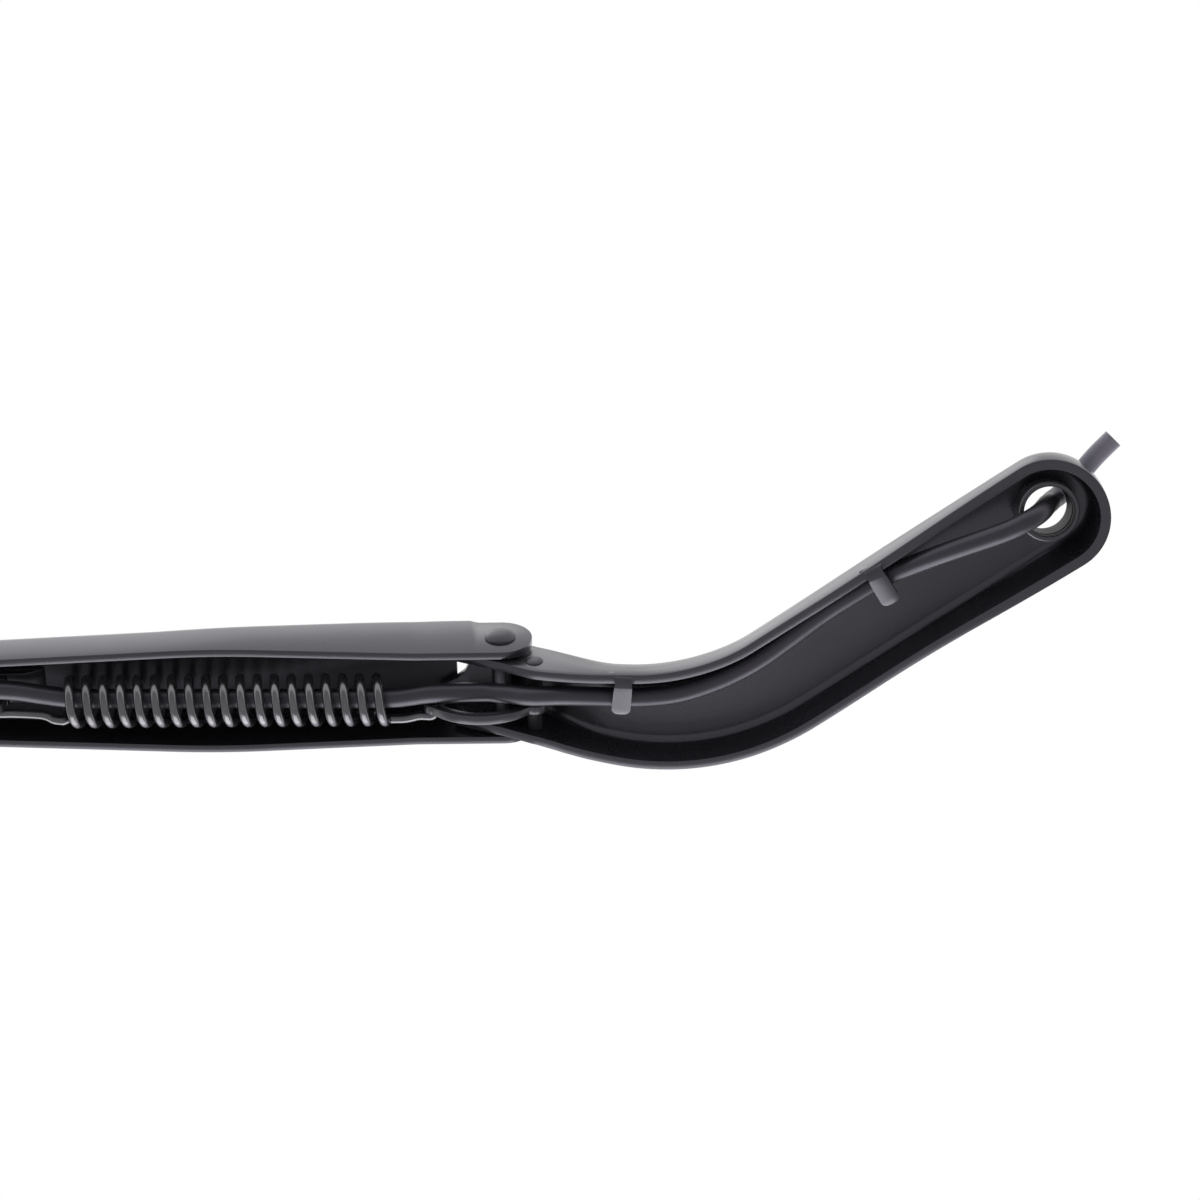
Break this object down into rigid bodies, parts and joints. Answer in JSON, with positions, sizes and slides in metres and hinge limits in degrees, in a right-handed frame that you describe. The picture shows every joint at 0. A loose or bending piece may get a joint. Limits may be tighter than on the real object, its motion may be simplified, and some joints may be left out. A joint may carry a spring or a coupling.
{
  "type": "wiper arm",
  "caption": "Sprung wiper arm: a pressed spindle head with a dog-leg bend, a hinged channel arm, a flat bar with a blade hook and a washer hose running through.",
  "frame": {"origin": "centre of the spindle bore, level with the middle of the head's round end", "axes": "+X away from the blade hook, so the arm reaches towards -X; +Z away from the glass, on the arm's outer side; +Y across the arm, along the hinge axis"},
  "size_m": [0.5095, 0.0847, 0.0322],
  "materials": {
    "black_paint": "satin black paint",
    "black_casting": "satin black paint",
    "dark_polymer": "dark bearing polymer",
    "dark_steel": "thin dark coating",
    "spring_steel": "dark coated spring wire",
    "hose_rubber": "smooth black rubber",
    "black_plastic": "fine grained black"
  },
  "bodies": {
    "head": {"head_channel": "black_paint", "spindle_bush": "black_casting", "hinge_bush_upper": "dark_polymer", "hinge_bush_lower": "dark_polymer", "link_pin": "black_paint", "washer_hose_head": "hose_rubber"},
    "arm": {"arm_channel": "black_paint", "hinge_rivet": "black_paint", "flat_bar": "black_paint", "bar_rivet_inner": "black_paint", "bar_rivet_outer": "black_paint", "spring_anchor": "dark_steel", "washer_hose_arm": "hose_rubber", "hose_clip_inner": "black_plastic", "hose_clip_outer": "black_plastic", "spray_nozzle": "black_plastic"},
    "link": {"pull_link": "dark_steel"},
    "spring": {"tension_spring": "spring_steel"}
  },
  "joints": [
    {"name": "arm_lift", "type": "hinge", "parent": "head", "child": "arm", "pos_m": [-0.13498, 0.05273, 0.0079], "axis": [0, 1, 0], "range_deg": [0, 25], "stiffness_Nm_per_rad": 0.6, "springref_deg": -171.89, "deforming": ["tension_spring", "washer_hose_head", "washer_hose_arm"]},
    {"name": "link_swing", "type": "hinge", "parent": "head", "child": "link", "pos_m": [-0.12628, 0.05273, 0.0003], "axis": [0, 1, 0], "range_deg": [0, 23.5]},
    {"name": "spring_swing", "type": "hinge", "parent": "arm", "child": "spring", "pos_m": [-0.26558, 0.05273, 0.0015], "axis": [0, 1, 0], "range_deg": [-2, 0]}
  ],
  "couplings": [
    {"joint": "link_swing", "follows": "arm_lift", "ratio": 0.93},
    {"joint": "spring_swing", "follows": "arm_lift", "ratio": -0.07}
  ]
}
